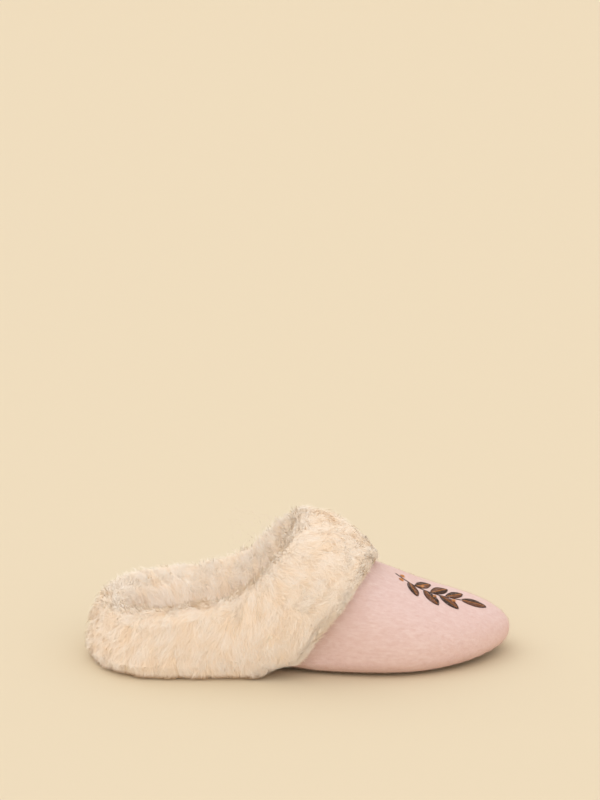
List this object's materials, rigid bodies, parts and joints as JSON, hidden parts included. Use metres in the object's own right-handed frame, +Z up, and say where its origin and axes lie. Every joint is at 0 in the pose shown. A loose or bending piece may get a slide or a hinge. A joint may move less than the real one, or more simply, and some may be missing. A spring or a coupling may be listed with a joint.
{
  "type": "house slipper",
  "caption": "Soft felt house slipper with a deep fur cuff around the heel and over the instep, on a flat soft sole.",
  "frame": {"origin": "under the middle of the slipper's box, on the plane that the sole stands on", "axes": "+X towards the toe, +Y towards the inner (big toe) side, +Z up"},
  "size_m": [0.2617, 0.107, 0.0937],
  "materials": {
    "sole_suede": "soft brushed sole cloth",
    "sock_fleece": "short brushed fleece",
    "pink_felt": "matt wool felt with a light nap",
    "cream_fur": "long soft pile",
    "sprig_thread": "satin stitch thread"
  },
  "bodies": {
    "root": {"outsole": "sole_suede", "insole": "sock_fleece", "upper": "pink_felt", "fur_cuff": "cream_fur"}
  },
  "joints": []
}
